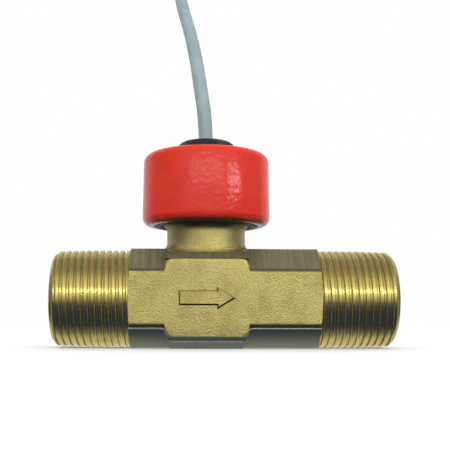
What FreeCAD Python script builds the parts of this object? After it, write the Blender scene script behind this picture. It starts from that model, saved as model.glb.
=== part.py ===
import FreeCAD, Part
import math
import os

# Turbine flow meter for a one-inch pipe, in millimetres.
# Water flows along +X. The origin is the centre of the inlet face, and +Z points to the sensor head.

# Pipe body
BODY_LENGTH = 116.0
SENSOR_X = 52.0
ACROSS_FLATS = 33.5
ARM_CHAMFER = 7.6
EDGE_RADIUS = 2.4
THREADED_END = 26.0
THREAD_BLANK_D = 33.4
THREAD_GAUGE_D = 33.249
THREAD_GAUGE_LENGTH = 10.4
THREAD_TAPER = 1.0 / 16.0
THREAD_LEAD_IN = 1.4
ARM_END_CHAMFER = 0.6
ARM_END_SETBACK = 0.3

# Block in the middle of the body, drafted like a forging
BLOCK_WIDTH = 31.1
BLOCK_TOP_WIDTH = 25.7
BLOCK_KNEE_DROP = 8.0
BLOCK_SHOULDER_DEPTH = 7.6
BLOCK_SHOULDER_DROP = 3.85
BLOCK_SIDE_DRAFT = 1.2
BLOCK_CORNER_RADIUS = 2.0
FACE_EDGE_BREAK = 0.4

# Neck and collar under the sensor head
NECK_HEIGHT = 7.65
NECK_FLARE = 2.0
NECK_FLARE_STATIONS = 6
COLLAR_STEP = 2.15
COLLAR_THICKNESS = 3.0
COLLAR_FILLET = 1.8
COLLAR_EDGE = 0.3
POCKET_D = 17.0
POCKET_FLOOR_WALL = 3.0

# Flow passage
ROTOR_BORE = 24.0
ROTOR_BORE_LENGTH = 17.4
SUPPORT_BORE = 25.6
BORE_LEAD_IN = 0.8
RING_GROOVE_D = 27.2
RING_GROOVE_PLAY = 0.1

# Vane carriers and the spring rings that hold them
SUPPORT_CLEARANCE = 0.05
STRAIGHTENER_LENGTH = 18.0
STRAIGHTENER_VANES = 6
OUTLET_SUPPORT_LENGTH = 14.0
OUTLET_SUPPORT_VANES = 4
VANE_THICKNESS = 1.1
VANE_SETBACK = 1.5
VANE_ROOT_OVERLAP = 0.3
HUB_D = 9.0
HUB_NOSE_RADIUS = 4.2
HUB_FACE_GAP = 1.0
SPRING_RING_THICKNESS = 1.2
SPRING_RING_WIDTH = 1.9
SPRING_RING_GAP = 5.0
SPRING_RING_LUG_R = 1.8
SPRING_RING_LUG_INSET = 0.95
SPRING_RING_HOLE_R = 0.8

# Turbine wheel, its shaft, jewels and magnets
ROTOR_LENGTH = 14.0
ROTOR_EDGE = 0.5
BLADE_COUNT = 6
BLADE_LENGTH = 11.0
BLADE_THICKNESS = 2.6
BLADE_TWIST_DEG = 38.0
BLADE_STATIONS = 5
BLADE_ROOT_DEPTH = 0.6
BLADE_TIP_GAP = 0.3
SHAFT_D = 2.0
SHAFT_EDGE = 0.2
SHAFT_END_FLOAT = 0.15
JEWEL_D = 4.0
JEWEL_LENGTH = 3.0
JEWEL_BORE_DEPTH = 2.2
JEWEL_RUNNING_FIT = 0.03
MAGNET_D = 1.5
MAGNET_LENGTH = 2.5
MAGNET_RECESS = 0.2

# Red cap, its seal and the cable bush
CAP_RIM_ABOVE_COLLAR = 0.8
CAP_HEIGHT = 25.1
CAP_RIM_D = 44.5
CAP_TOP_D = 43.7
CAP_WALL = 2.6
CAP_LIP_D = 36.4
CAP_RIM_RADIUS = 3.0
CAP_TOP_RADIUS = 3.0
SEAL_WIDTH = 2.5
SEAL_BELOW_RIM = 0.9
SEAL_EDGE = 0.5
BUSH_HOLE_D = 11.0
BUSH_HEAD_D = 20.0
BUSH_HEAD_HEIGHT = 4.1
BUSH_HEAD_RADIUS = 3.2
BUSH_FOOT_D = 15.0
BUSH_FOOT_HEIGHT = 2.0
BUSH_CABLE_CLEARANCE = 0.05

# Electronics in the head
CARRIER_CLEARANCE = 0.1
CARRIER_FLANGE_CLEARANCE = 0.15
CARRIER_FLANGE_THICKNESS = 2.0
CARRIER_FLOOR = 1.2
CARRIER_CAVITY_D = 12.0
BOARD_WIDTH = 14.0
BOARD_THICKNESS = 1.6
BOARD_HEIGHT = 24.0
BOARD_FACE_Y = 0.7
BOARD_CLEARANCE = 0.1
HALL_WIDTH = 4.1
HALL_HEIGHT = 3.0
HALL_THICKNESS = 1.5
CORE_D = 1.2
CORE_PITCH = 1.3
CORE_PAD_PITCH = 3.4
CORE_SOLDER_DEPTH = 4.0
CORE_COLOURS = ["brown", "white", "green"]

# Signal cable, its stored coil and its stripped end
CABLE_D = 5.0
COIL_TURN_RADIUS = 27.5
COIL_COLUMNS = 4
COIL_LAYERS = 2
COIL_X = 75.0
COIL_Y = 73.0
TIE_THICKNESS = 0.8
TIE_WIDTH = 4.0
TIE_CLEARANCE = 0.15
SLEEVE_D = 1.8
SLEEVE_LENGTH = 8.0

# The cable rises from the head, arches over backwards and comes down behind the body to its coil.
CABLE_ROUTE = [
    (52.0, 0.0, 44.0),
    (52.0, 0.0, 61.0),
    (49.97, 6.0, 77.0),
    (48.4, 18.0, 92.0),
    (46.05, 30.5, 107.0),
    (42.86, 42.0, 122.0),
    (41.3, 54.5, 135.0),
    (41.0, 70.5, 142.5),
    (42.3, 87.5, 141.5),
    (46.7, 101.0, 132.0),
    (50.5, 108.0, 116.5),
    (53.4, 109.5, 98.5),
    (54.8, 109.3, 81.0),
    (53.4, 108.3, 64.5),
    (50.3, 108.0, 48.5),
    (45.0, 108.0, 33.0),
    (39.2, 108.0, 19.5),
    (40.4, 108.0, 5.3),
    (48.2, 108.0, -6.55),
    (60.7, 108.0, -13.3),
    (75.0, 108.0, -13.3),
]

# The far end leaves the coil's upper outer turn and drops to the floor.
TAIL_ROUTE = [
    (75.0, 38.0, -8.3),
    (64.0, 38.0, -8.55),
    (53.5, 38.4, -11.45),
    (42.5, 39.6, -14.25),
    (32.0, 39.6, -14.25),
]

# The stripped cores leave the cable's cut end square to it and fan out on the floor.
END_CORE_ROUTES = {
    "brown": [(32.0, 38.3, -14.25), (26.0, 38.3, -14.25), (19.0, 37.0, -15.45), (12.0, 34.2, -15.85)],
    "white": [(32.0, 39.6, -14.25), (26.0, 39.6, -14.25), (19.0, 40.4, -15.45), (12.0, 40.8, -15.85)],
    "green": [(32.0, 40.9, -14.25), (26.0, 40.9, -14.25), (19.0, 43.6, -15.45), (12.0, 47.2, -15.85)],
}

# Sizes, heights and places that follow from the sizes above: the cap's lip sets the collar and the neck
V = FreeCAD.Vector
ALONG_X = V(1, 0, 0)
ALONG_Z = V(0, 0, 1)
SHORTEST_EDGE = 1e-6
COLLAR_D = CAP_LIP_D - 2 * SEAL_WIDTH
NECK_D = COLLAR_D - 2 * COLLAR_STEP
HALF_FLATS = ACROSS_FLATS / 2
BLOCK_FACE_HALF = HALF_FLATS - BLOCK_SHOULDER_DROP
SHOULDER_SLOPE = BLOCK_SHOULDER_DROP / BLOCK_SHOULDER_DEPTH
FLOOR_Z = -HALF_FLATS
COLLAR_BOTTOM_Z = HALF_FLATS + NECK_HEIGHT
COLLAR_TOP_Z = COLLAR_BOTTOM_Z + COLLAR_THICKNESS
CAP_RIM_Z = COLLAR_BOTTOM_Z + CAP_RIM_ABOVE_COLLAR
CAP_TOP_Z = CAP_RIM_Z + CAP_HEIGHT
CAP_CEILING_Z = CAP_TOP_Z - CAP_WALL
POCKET_FLOOR_Z = ROTOR_BORE / 2 + POCKET_FLOOR_WALL
CARRIER_BOTTOM_Z = POCKET_FLOOR_Z + CARRIER_CLEARANCE
CARRIER_FLOOR_Z = CARRIER_BOTTOM_Z + CARRIER_FLOOR
BOARD_TOP_Z = CARRIER_FLOOR_Z + BOARD_HEIGHT
SEAT_OFFSET = ROTOR_BORE_LENGTH / 2
HUB_FACE_OFFSET = ROTOR_LENGTH / 2 + HUB_FACE_GAP
BLADE_TIP_R = ROTOR_BORE / 2 - BLADE_TIP_GAP
CABLE_START_Z = CABLE_ROUTE[0][2]
COIL_BOTTOM_Z = FLOOR_Z + TIE_THICKNESS + TIE_CLEARANCE


def rounded_wire(corners):
    """Closed wire through (point, radius) corners, with a tangent arc at each corner that has a radius."""
    count = len(corners)
    cuts = []
    for i in range(count):
        corner, radius = corners[i]
        before = (corners[i - 1][0] - corner).normalize()
        after = (corners[(i + 1) % count][0] - corner).normalize()
        if radius == 0:
            cuts.append((corner, None, corner))
            continue
        half_angle = before.getAngle(after) / 2
        reach = radius / math.tan(half_angle)
        inward = (before + after).normalize()
        middle = corner + inward * (radius / math.sin(half_angle) - radius)
        cuts.append((corner + before * reach, middle, corner + after * reach))
    edges = []
    for i in range(count):
        start, middle, end = cuts[i]
        if middle is not None:
            edges.append(Part.Arc(start, middle, end).toShape())
        following = cuts[(i + 1) % count][0]
        if (following - end).Length > SHORTEST_EDGE:
            edges.append(Part.LineSegment(end, following).toShape())
    return Part.Wire(edges)


def turned_about_x(profile):
    """Solid turned about the flow axis from (x, r, corner radius) points."""
    corners = [(V(x, 0, r), radius) for x, r, radius in profile]
    return Part.Face(rounded_wire(corners)).revolve(V(0, 0, 0), ALONG_X, 360)


def turned_about_sensor(profile):
    """Solid turned about the sensor axis from (r, z, corner radius) points."""
    corners = [(V(SENSOR_X + r, 0, z), radius) for r, z, radius in profile]
    return Part.Face(rounded_wire(corners)).revolve(V(SENSOR_X, 0, 0), ALONG_Z, 360)


def rod_x(diameter, start, end):
    return Part.makeCylinder(diameter / 2, end - start, V(start, 0, 0), ALONG_X)


def at_sensor(shape):
    """Moves a shape drawn around the rotor's middle to its place under the sensor."""
    return shape.translated(V(SENSOR_X, 0, 0))


def turned_round(shape):
    """The same shape facing downstream instead of upstream."""
    return shape.rotated(V(0, 0, 0), ALONG_Z, 180)


def arm_prism():
    """Octagonal arms, with their corners turned off at both ends."""
    flat = HALF_FLATS - ARM_CHAMFER
    outline = [(HALF_FLATS, flat), (flat, HALF_FLATS), (-flat, HALF_FLATS), (-HALF_FLATS, flat),
               (-HALF_FLATS, -flat), (-flat, -HALF_FLATS), (flat, -HALF_FLATS), (HALF_FLATS, -flat)]
    section = rounded_wire([(V(THREADED_END, y, z), EDGE_RADIUS) for y, z in outline])
    arm_end = BODY_LENGTH - THREADED_END
    prism = Part.Face(section).extrude(V(arm_end - THREADED_END, 0, 0))
    corner_r = math.hypot(HALF_FLATS, flat)
    turned_r = HALF_FLATS - ARM_END_SETBACK
    turned = turned_about_x([
        (THREADED_END, 0, 0),
        (THREADED_END, turned_r, 0),
        (THREADED_END + ARM_END_CHAMFER, corner_r, 0),
        (arm_end - ARM_END_CHAMFER, corner_r, 0),
        (arm_end, turned_r, 0),
        (arm_end, 0, 0),
    ])
    return prism.common(turned)


def block_outline(y, inset, half_height):
    """Front view of the block at depth y: straight in the middle, tapering to its top and bottom."""
    middle = BLOCK_WIDTH / 2 - inset
    taper = (BLOCK_WIDTH - BLOCK_TOP_WIDTH) / 2 / BLOCK_KNEE_DROP
    end = BLOCK_TOP_WIDTH / 2 + taper * (HALF_FLATS - half_height) - inset
    knee = HALF_FLATS - BLOCK_KNEE_DROP
    outline = [(middle, knee), (end, half_height), (-end, half_height), (-middle, knee),
               (-middle, -knee), (-end, -half_height), (end, -half_height), (middle, -knee)]
    return rounded_wire([(V(SENSOR_X + x, y, z), BLOCK_CORNER_RADIUS) for x, z in outline])


def forged_block():
    """Block round the rotor: shoulders fall to its front and back faces, which have broken edges."""
    sections = [
        (HALF_FLATS, BLOCK_SIDE_DRAFT + FACE_EDGE_BREAK, BLOCK_FACE_HALF - FACE_EDGE_BREAK),
        (HALF_FLATS - FACE_EDGE_BREAK, BLOCK_SIDE_DRAFT, BLOCK_FACE_HALF + FACE_EDGE_BREAK * SHOULDER_SLOPE),
        (HALF_FLATS - BLOCK_SHOULDER_DEPTH, 0, HALF_FLATS),
    ]
    wires = [block_outline(-y, inset, half_height) for y, inset, half_height in sections]
    wires += [block_outline(y, inset, half_height) for y, inset, half_height in reversed(sections)]
    return Part.makeLoft(wires, True, True)


def oval(half_length, half_width, z):
    """Ellipse round the sensor axis, with its long axis along the pipe."""
    ellipse = Part.Ellipse(V(SENSOR_X, 0, z), half_length, half_width)
    return Part.Wire(ellipse.toShape())


def neck_foot():
    """Foot of the neck: it flares along the pipe onto the arms and, lower down, out onto the shoulders."""
    neck_r = NECK_D / 2
    foot_r = neck_r + NECK_FLARE
    shoulder_z = BLOCK_FACE_HALF + (HALF_FLATS - foot_r) * SHOULDER_SLOPE
    turns = [math.radians(90 * i / NECK_FLARE_STATIONS) for i in range(1, NECK_FLARE_STATIONS + 1)]
    wires = [Part.Wire(Part.makeCircle(neck_r, V(SENSOR_X, 0, HALF_FLATS + NECK_FLARE)))]
    for turn in turns:
        half_length = foot_r - NECK_FLARE * math.cos(turn)
        wires.append(oval(half_length, neck_r, HALF_FLATS + NECK_FLARE * (1 - math.sin(turn))))
    for turn in turns:
        half_width = foot_r - NECK_FLARE * math.cos(turn)
        wires.append(oval(foot_r, half_width, shoulder_z + NECK_FLARE * (1 - math.sin(turn))))
    return Part.makeLoft(wires, True, True)


def sensor_neck():
    """Plain neck that rounds out into the collar above."""
    return turned_about_sensor([
        (0, HALF_FLATS + NECK_FLARE, 0),
        (NECK_D / 2, HALF_FLATS + NECK_FLARE, 0),
        (NECK_D / 2, COLLAR_BOTTOM_Z, COLLAR_FILLET),
        (COLLAR_D / 2, COLLAR_BOTTOM_Z, COLLAR_EDGE),
        (COLLAR_D / 2, COLLAR_TOP_Z, 0),
        (0, COLLAR_TOP_Z, 0),
    ])


def thread_blank(length):
    """Turned blank of one threaded end: the taper of the thread's crests, then the plain run-out."""
    end_r = (THREAD_GAUGE_D - THREAD_GAUGE_LENGTH * THREAD_TAPER) / 2
    blank_r = THREAD_BLANK_D / 2
    taper_length = (blank_r - end_r) * 2 / THREAD_TAPER
    return turned_about_x([
        (0, 0, 0),
        (0, end_r - THREAD_LEAD_IN, 0),
        (THREAD_LEAD_IN, end_r + THREAD_LEAD_IN * THREAD_TAPER / 2, 0),
        (taper_length, blank_r, 0),
        (length, blank_r, 0),
        (length, 0, 0),
    ])


def support_seat(length):
    """Distance from the rotor's middle to the far side of a spring ring groove."""
    return SEAT_OFFSET + length + SPRING_RING_THICKNESS + RING_GROOVE_PLAY


def flow_passage():
    """Everything that is bored out of the body: rotor bore, two counterbores and their ring grooves."""
    inlet_groove = SENSOR_X - support_seat(STRAIGHTENER_LENGTH)
    outlet_groove = SENSOR_X + SEAT_OFFSET + OUTLET_SUPPORT_LENGTH
    groove_width = SPRING_RING_THICKNESS + RING_GROOVE_PLAY
    mouth_r = SUPPORT_BORE / 2 + BORE_LEAD_IN
    inlet_mouth = turned_about_x([
        (0, 0, 0), (0, mouth_r, 0), (BORE_LEAD_IN, SUPPORT_BORE / 2, 0), (BORE_LEAD_IN, 0, 0)])
    outlet_mouth = turned_round(inlet_mouth).translated(V(BODY_LENGTH, 0, 0))
    return rod_x(ROTOR_BORE, 0, BODY_LENGTH).fuse([
        rod_x(SUPPORT_BORE, 0, SENSOR_X - SEAT_OFFSET),
        rod_x(SUPPORT_BORE, SENSOR_X + SEAT_OFFSET, BODY_LENGTH),
        rod_x(RING_GROOVE_D, inlet_groove, inlet_groove + groove_width),
        rod_x(RING_GROOVE_D, outlet_groove, outlet_groove + groove_width),
        inlet_mouth,
        outlet_mouth,
    ])


def make_body():
    inlet_thread = thread_blank(THREADED_END)
    outlet_thread = turned_round(inlet_thread).translated(V(BODY_LENGTH, 0, 0))
    solid = arm_prism().fuse([forged_block(), neck_foot(), sensor_neck(), inlet_thread, outlet_thread])
    pocket_depth = COLLAR_TOP_Z - POCKET_FLOOR_Z
    pocket = Part.makeCylinder(POCKET_D / 2, pocket_depth, V(SENSOR_X, 0, POCKET_FLOOR_Z))
    return solid.cut([flow_passage(), pocket]).removeSplitter()


def make_support(length, vane_count):
    """Vane carrier upstream of the rotor: outer ring, radial vanes and a hub with a rounded nose."""
    ring_r = SUPPORT_BORE / 2 - SUPPORT_CLEARANCE
    ring_start = -SEAT_OFFSET - length
    ring = rod_x(2 * ring_r, ring_start, -SEAT_OFFSET).cut(rod_x(ROTOR_BORE, ring_start, -SEAT_OFFSET))
    nose = ring_start + VANE_SETBACK
    hub = turned_about_x([
        (nose, 0, 0),
        (nose, HUB_D / 2, HUB_NOSE_RADIUS),
        (-HUB_FACE_OFFSET, HUB_D / 2, 0),
        (-HUB_FACE_OFFSET, 0, 0),
    ])
    vane_start = nose + HUB_NOSE_RADIUS
    vane_root = HUB_D / 2 - VANE_ROOT_OVERLAP
    vane_tip = ROTOR_BORE / 2 + VANE_ROOT_OVERLAP
    vane = Part.makeBox(
        -SEAT_OFFSET - vane_start, VANE_THICKNESS, vane_tip - vane_root,
        V(vane_start, -VANE_THICKNESS / 2, vane_root))
    vanes = [vane.rotated(V(0, 0, 0), ALONG_X, 360 * i / vane_count) for i in range(vane_count)]
    seat = rod_x(JEWEL_D, -HUB_FACE_OFFSET - JEWEL_LENGTH, -HUB_FACE_OFFSET)
    return hub.fuse([ring] + vanes).cut(seat).removeSplitter()


def make_jewel():
    """Jewel cup upstream of the rotor, flush with its hub's face, blind at the back."""
    face = -HUB_FACE_OFFSET
    bore = rod_x(SHAFT_D + 2 * JEWEL_RUNNING_FIT, face - JEWEL_BORE_DEPTH, face)
    return rod_x(JEWEL_D, face - JEWEL_LENGTH, face).cut(bore)


def make_spring_ring(length):
    """Internal spring ring behind an upstream carrier, open at the bottom, with two pierced lugs."""
    back = -SEAT_OFFSET - length
    front = back - SPRING_RING_THICKNESS
    outer_r = RING_GROOVE_D / 2 - SUPPORT_CLEARANCE
    inner_r = outer_r - SPRING_RING_WIDTH
    hoop = rod_x(2 * outer_r, front, back).cut(rod_x(2 * inner_r, front, back))
    gap_corner = V(front, -SPRING_RING_GAP / 2, -outer_r)
    gap = Part.makeBox(SPRING_RING_THICKNESS, SPRING_RING_GAP, outer_r, gap_corner)
    lug_y = SPRING_RING_GAP / 2 + SPRING_RING_LUG_R
    lug_z = -math.sqrt((inner_r - SPRING_RING_LUG_INSET) ** 2 - lug_y ** 2)
    lugs = []
    holes = []
    for side in (-1, 1):
        place = V(front, side * lug_y, lug_z)
        lugs.append(Part.makeCylinder(SPRING_RING_LUG_R, SPRING_RING_THICKNESS, place, ALONG_X))
        holes.append(Part.makeCylinder(SPRING_RING_HOLE_R, SPRING_RING_THICKNESS, place, ALONG_X))
    return hoop.cut(gap).fuse(lugs).cut(holes).removeSplitter()


def twisted_blade():
    """One blade: a radial strip carried along the axis while it turns, trimmed to the tip circle."""
    wires = []
    for i in range(BLADE_STATIONS):
        share = i / (BLADE_STATIONS - 1) - 0.5
        x = BLADE_LENGTH * share
        root = HUB_D / 2 - BLADE_ROOT_DEPTH
        tip = ROTOR_BORE / 2 + BLADE_TIP_GAP
        half = BLADE_THICKNESS / 2
        strip = Part.makePolygon([
            V(x, -half, root), V(x, half, root), V(x, half, tip), V(x, -half, tip), V(x, -half, root)])
        wires.append(strip.rotated(V(0, 0, 0), ALONG_X, BLADE_TWIST_DEG * share))
    tip_circle = rod_x(2 * BLADE_TIP_R, -BLADE_LENGTH, BLADE_LENGTH)
    return Part.makeLoft(wires, True, False).common(tip_circle)


def magnet_rod(length):
    """Rod along a blade's radius, outwards from the bottom of the magnet's pocket."""
    inner_end = BLADE_TIP_R - MAGNET_RECESS - MAGNET_LENGTH
    return Part.makeCylinder(MAGNET_D / 2, length, V(0, 0, inner_end), ALONG_Z)


def round_rotor(shape, i):
    return shape.rotated(V(0, 0, 0), ALONG_X, 360 * i / BLADE_COUNT)


def make_rotor():
    half = ROTOR_LENGTH / 2
    hub_r = HUB_D / 2
    hub = turned_about_x([
        (-half, 0, 0),
        (-half, hub_r, ROTOR_EDGE),
        (half, hub_r, ROTOR_EDGE),
        (half, 0, 0),
    ])
    blade = twisted_blade().cut(magnet_rod(MAGNET_LENGTH + 2 * MAGNET_RECESS))
    blades = [round_rotor(blade, i) for i in range(BLADE_COUNT)]
    return hub.fuse(blades).cut(rod_x(SHAFT_D, -half, half)).removeSplitter()


def make_shaft():
    reach = HUB_FACE_OFFSET + JEWEL_BORE_DEPTH - SHAFT_END_FLOAT
    return turned_about_x([
        (-reach, 0, 0),
        (-reach, SHAFT_D / 2, SHAFT_EDGE),
        (reach, SHAFT_D / 2, SHAFT_EDGE),
        (reach, 0, 0),
    ])


def cap_inner_r(z):
    """Inside radius of the cap's wall at height z, following its outer taper."""
    share = (z - CAP_RIM_Z) / CAP_HEIGHT
    return (CAP_RIM_D + (CAP_TOP_D - CAP_RIM_D) * share) / 2 - CAP_WALL


def make_cap():
    """Moulded cap: a lip round the seal, a thinner tapered wall above it and a hole for the cable bush."""
    hole_r = BUSH_HOLE_D / 2
    lip_r = CAP_LIP_D / 2
    return turned_about_sensor([
        (lip_r, CAP_RIM_Z, 0),
        (CAP_RIM_D / 2, CAP_RIM_Z, CAP_RIM_RADIUS),
        (CAP_TOP_D / 2, CAP_TOP_Z, CAP_TOP_RADIUS),
        (hole_r, CAP_TOP_Z, 0),
        (hole_r, CAP_CEILING_Z, 0),
        (cap_inner_r(CAP_CEILING_Z), CAP_CEILING_Z, 0),
        (cap_inner_r(COLLAR_TOP_Z), COLLAR_TOP_Z, 0),
        (lip_r, COLLAR_TOP_Z, 0),
    ])


def make_seal():
    """Rubber ring squeezed between the collar and the cap's lip, showing a little below the rim."""
    bottom = CAP_RIM_Z - SEAL_BELOW_RIM
    return turned_about_sensor([
        (COLLAR_D / 2, bottom, SEAL_EDGE),
        (CAP_LIP_D / 2, bottom, SEAL_EDGE),
        (CAP_LIP_D / 2, COLLAR_TOP_Z, 0),
        (COLLAR_D / 2, COLLAR_TOP_Z, 0),
    ])


def make_bush():
    """Rubber bush buttoned into the cap's top, domed outside, with a foot inside."""
    bore_r = CABLE_D / 2 + BUSH_CABLE_CLEARANCE
    head_top = CAP_TOP_Z + BUSH_HEAD_HEIGHT
    foot_bottom = CAP_CEILING_Z - BUSH_FOOT_HEIGHT
    return turned_about_sensor([
        (bore_r, foot_bottom, 0),
        (BUSH_FOOT_D / 2, foot_bottom, 0),
        (BUSH_FOOT_D / 2, CAP_CEILING_Z, 0),
        (BUSH_HOLE_D / 2, CAP_CEILING_Z, 0),
        (BUSH_HOLE_D / 2, CAP_TOP_Z, 0),
        (BUSH_HEAD_D / 2, CAP_TOP_Z, 0),
        (BUSH_HEAD_D / 2, head_top, BUSH_HEAD_RADIUS),
        (bore_r, head_top, 0),
    ])


def make_carrier():
    """Cup down the neck's pocket with a flange on the collar, slotted for the circuit board."""
    cup_r = POCKET_D / 2 - CARRIER_CLEARANCE
    flange_top = COLLAR_TOP_Z + CARRIER_FLANGE_THICKNESS
    flange_r = cap_inner_r(flange_top) - CARRIER_FLANGE_CLEARANCE
    cup = turned_about_sensor([
        (0, CARRIER_BOTTOM_Z, 0),
        (cup_r, CARRIER_BOTTOM_Z, 0),
        (cup_r, COLLAR_TOP_Z, 0),
        (flange_r, COLLAR_TOP_Z, 0),
        (flange_r, flange_top, 0),
        (0, flange_top, 0),
    ])
    depth = flange_top - CARRIER_FLOOR_Z
    cavity = Part.makeCylinder(CARRIER_CAVITY_D / 2, depth, V(SENSOR_X, 0, CARRIER_FLOOR_Z))
    slot_width = BOARD_WIDTH + 2 * BOARD_CLEARANCE
    slot_thickness = BOARD_THICKNESS + 2 * BOARD_CLEARANCE
    slot = Part.makeBox(
        slot_width, slot_thickness, depth,
        V(SENSOR_X - slot_width / 2, BOARD_FACE_Y - BOARD_CLEARANCE, CARRIER_FLOOR_Z))
    return cup.cut([cavity, slot])


def make_board():
    corner = V(SENSOR_X - BOARD_WIDTH / 2, BOARD_FACE_Y, CARRIER_FLOOR_Z)
    return Part.makeBox(BOARD_WIDTH, BOARD_THICKNESS, BOARD_HEIGHT, corner)


def make_hall_sensor():
    """Sensor package on the board's face, just above the cup's floor and over the rotor."""
    return Part.makeBox(
        HALL_WIDTH, HALL_THICKNESS, HALL_HEIGHT,
        V(SENSOR_X - HALL_WIDTH / 2, BOARD_FACE_Y - HALL_THICKNESS, CARRIER_FLOOR_Z))


def tube(route, diameter):
    """Round tube along straight runs and tangent arcs, each arc as large as its two runs allow."""
    points = [V(*point) for point in route]
    edges = []
    radii = []
    start = points[0]
    for i in range(1, len(points) - 1):
        here = points[i]
        back = points[i - 1] - here
        ahead = points[i + 1] - here
        reach = 0.45 * min(back.Length, ahead.Length)
        half_turn = (math.pi - back.getAngle(ahead)) / 2
        radius = reach / math.tan(half_turn)
        back.normalize()
        ahead.normalize()
        inward = (back + ahead).normalize()
        middle = here + inward * (radius / math.cos(half_turn) - radius)
        arc_start = here + back * reach
        arc_end = here + ahead * reach
        edges.append(Part.LineSegment(start, arc_start).toShape())
        edges.append(Part.Arc(arc_start, middle, arc_end).toShape())
        radii.append(round(radius, 1))
        start = arc_end
    edges.append(Part.LineSegment(start, points[-1]).toShape())
    path = Part.Wire(edges)
    section = Part.Wire(Part.makeCircle(diameter / 2, points[0], points[1] - points[0]))
    solid = path.makePipeShell([section], True, False)
    expected = path.Length * math.pi * diameter ** 2 / 4
    ratio = round(solid.Volume / expected, 4)
    print("tube length", round(path.Length, 1), "volume ratio", ratio, "radii", radii)
    return solid


def inner_core_route(i):
    """A core from the cable's end inside the cap down to its pad on the board's face."""
    side = i - 1
    y = BOARD_FACE_Y - CORE_D / 2
    top = SENSOR_X + side * CORE_PITCH
    pad = SENSOR_X + side * CORE_PAD_PITCH
    drop = CABLE_START_Z - BOARD_TOP_Z
    return [
        (top, y, CABLE_START_Z),
        (top, y, CABLE_START_Z - drop / 4),
        (pad, y, BOARD_TOP_Z),
        (pad, y, BOARD_TOP_Z - CORE_SOLDER_DEPTH),
    ]


def make_end_sleeve(colour):
    """Wire end sleeve that lies on the floor, past the end of its core."""
    before, end = [V(*point) for point in END_CORE_ROUTES[colour][-2:]]
    ahead = end - before
    ahead.z = 0
    return Part.makeCylinder(SLEEVE_D / 2, SLEEVE_LENGTH, end, ahead)


def make_straight_core(route):
    """A core with no sideways step, straight down to its pad."""
    start = V(*route[0])
    end = V(*route[-1])
    return Part.makeCylinder(CORE_D / 2, (end - start).Length, start, end - start)


def coil_section(radial_room, height_room):
    """Half width and height of the wound bundle's section, with room around it."""
    half_width = COIL_COLUMNS * CABLE_D / 2 + radial_room
    height = COIL_LAYERS * CABLE_D + 2 * height_room
    return half_width, height


def make_coil():
    """The outer shape of the stored turns, lying flat behind the body."""
    half_width, height = coil_section(0, 0)
    corners = [
        (COIL_TURN_RADIUS - half_width, 0),
        (COIL_TURN_RADIUS + half_width, 0),
        (COIL_TURN_RADIUS + half_width, height),
        (COIL_TURN_RADIUS - half_width, height),
    ]
    wire = rounded_wire([(V(COIL_X + r, COIL_Y, COIL_BOTTOM_Z + z), CABLE_D / 2) for r, z in corners])
    return Part.Face(wire).revolve(V(COIL_X, COIL_Y, 0), ALONG_Z, 360)


def tie_loop(room):
    """Rounded loop around the bundle on the coil's outlet side."""
    half_width, height = coil_section(room, room)
    middle = COIL_X + COIL_TURN_RADIUS
    bottom = COIL_BOTTOM_Z - room
    corners = [
        (middle - half_width, bottom),
        (middle + half_width, bottom),
        (middle + half_width, bottom + height),
        (middle - half_width, bottom + height),
    ]
    wire = rounded_wire([(V(x, COIL_Y - TIE_WIDTH / 2, z), CABLE_D / 2 + room) for x, z in corners])
    return Part.Face(wire).extrude(V(0, TIE_WIDTH, 0))


def make_tie():
    return tie_loop(TIE_CLEARANCE + TIE_THICKNESS).cut(tie_loop(TIE_CLEARANCE))


def make_parts():
    upstream_carrier = make_support(STRAIGHTENER_LENGTH, STRAIGHTENER_VANES)
    downstream_carrier = turned_round(make_support(OUTLET_SUPPORT_LENGTH, OUTLET_SUPPORT_VANES))
    parts = {
        "body": make_body(),
        "flow_straightener": at_sensor(upstream_carrier),
        "outlet_support": at_sensor(downstream_carrier),
        "inlet_bearing": at_sensor(make_jewel()),
        "outlet_bearing": at_sensor(turned_round(make_jewel())),
        "inlet_retaining_ring": at_sensor(make_spring_ring(STRAIGHTENER_LENGTH)),
        "outlet_retaining_ring": at_sensor(turned_round(make_spring_ring(OUTLET_SUPPORT_LENGTH))),
        "rotor": at_sensor(make_rotor()),
        "rotor_shaft": at_sensor(make_shaft()),
        "cap": make_cap(),
        "cap_seal": make_seal(),
        "cable_grommet": make_bush(),
        "sensor_carrier": make_carrier(),
        "circuit_board": make_board(),
        "hall_sensor": make_hall_sensor(),
        "cable": tube(CABLE_ROUTE, CABLE_D),
        "cable_coil": make_coil(),
        "cable_tail": tube(TAIL_ROUTE, CABLE_D),
        "coil_tie": make_tie(),
    }
    for i in range(BLADE_COUNT):
        parts["rotor_magnet_%d" % (i + 1)] = at_sensor(round_rotor(magnet_rod(MAGNET_LENGTH), i))
    for i, colour in enumerate(CORE_COLOURS):
        route = inner_core_route(i)
        straight = route[0][0] == route[-1][0]
        parts["inner_core_" + colour] = make_straight_core(route) if straight else tube(route, CORE_D)
        parts["end_core_" + colour] = tube(END_CORE_ROUTES[colour], CORE_D)
        parts["end_sleeve_" + colour] = make_end_sleeve(colour)
    return parts


os.makedirs("parts", exist_ok=True)
for name, shape in make_parts().items():
    solids = shape.Solids
    print(name, "solids", len(solids), "valid", shape.isValid(), "volume", round(shape.Volume, 2))
    shape.exportStep("parts/" + name + ".step")
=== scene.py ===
import math

import bmesh
import bpy
from mathutils import Matrix, Vector


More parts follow.
